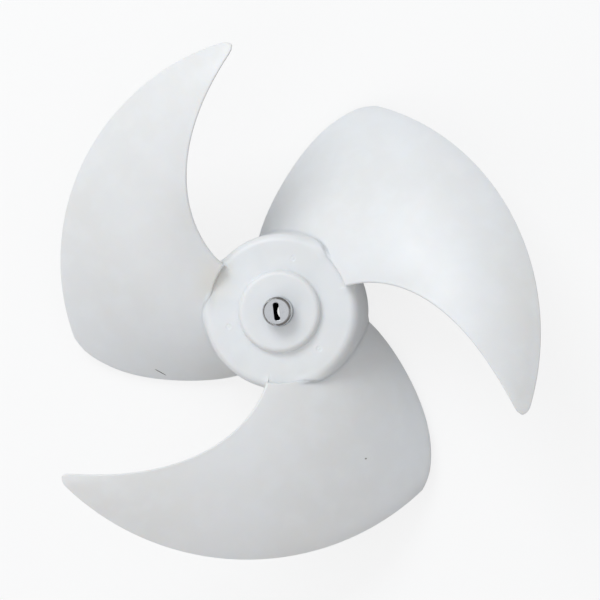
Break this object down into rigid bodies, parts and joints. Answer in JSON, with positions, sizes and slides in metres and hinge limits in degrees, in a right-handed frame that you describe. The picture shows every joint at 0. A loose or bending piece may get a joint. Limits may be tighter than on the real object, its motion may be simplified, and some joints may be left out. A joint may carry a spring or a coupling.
{
  "type": "condenser fan blade",
  "caption": "Axial condenser fan with swept, twisted blades on a cupped hub, moulded round a metal shaft insert with a bore and a slotted end.",
  "frame": {"origin": "on the fan's axis, at the rear end of the shaft insert, where the motor shaft goes in", "axes": "+Z along the fan's axis, out of the front face; +X and +Y in the plane of rotation, with the leading root of one blade 20.5 degrees from +X"},
  "size_m": [0.3726, 0.3835, 0.12],
  "materials": {
    "fan_plastic": "white, slightly translucent moulded plastic with a satin surface",
    "insert_metal": "turned and plated steel with a polished chamfer"
  },
  "bodies": {
    "root": {"fan_rotor": "fan_plastic", "shaft_insert": "insert_metal"}
  },
  "joints": []
}
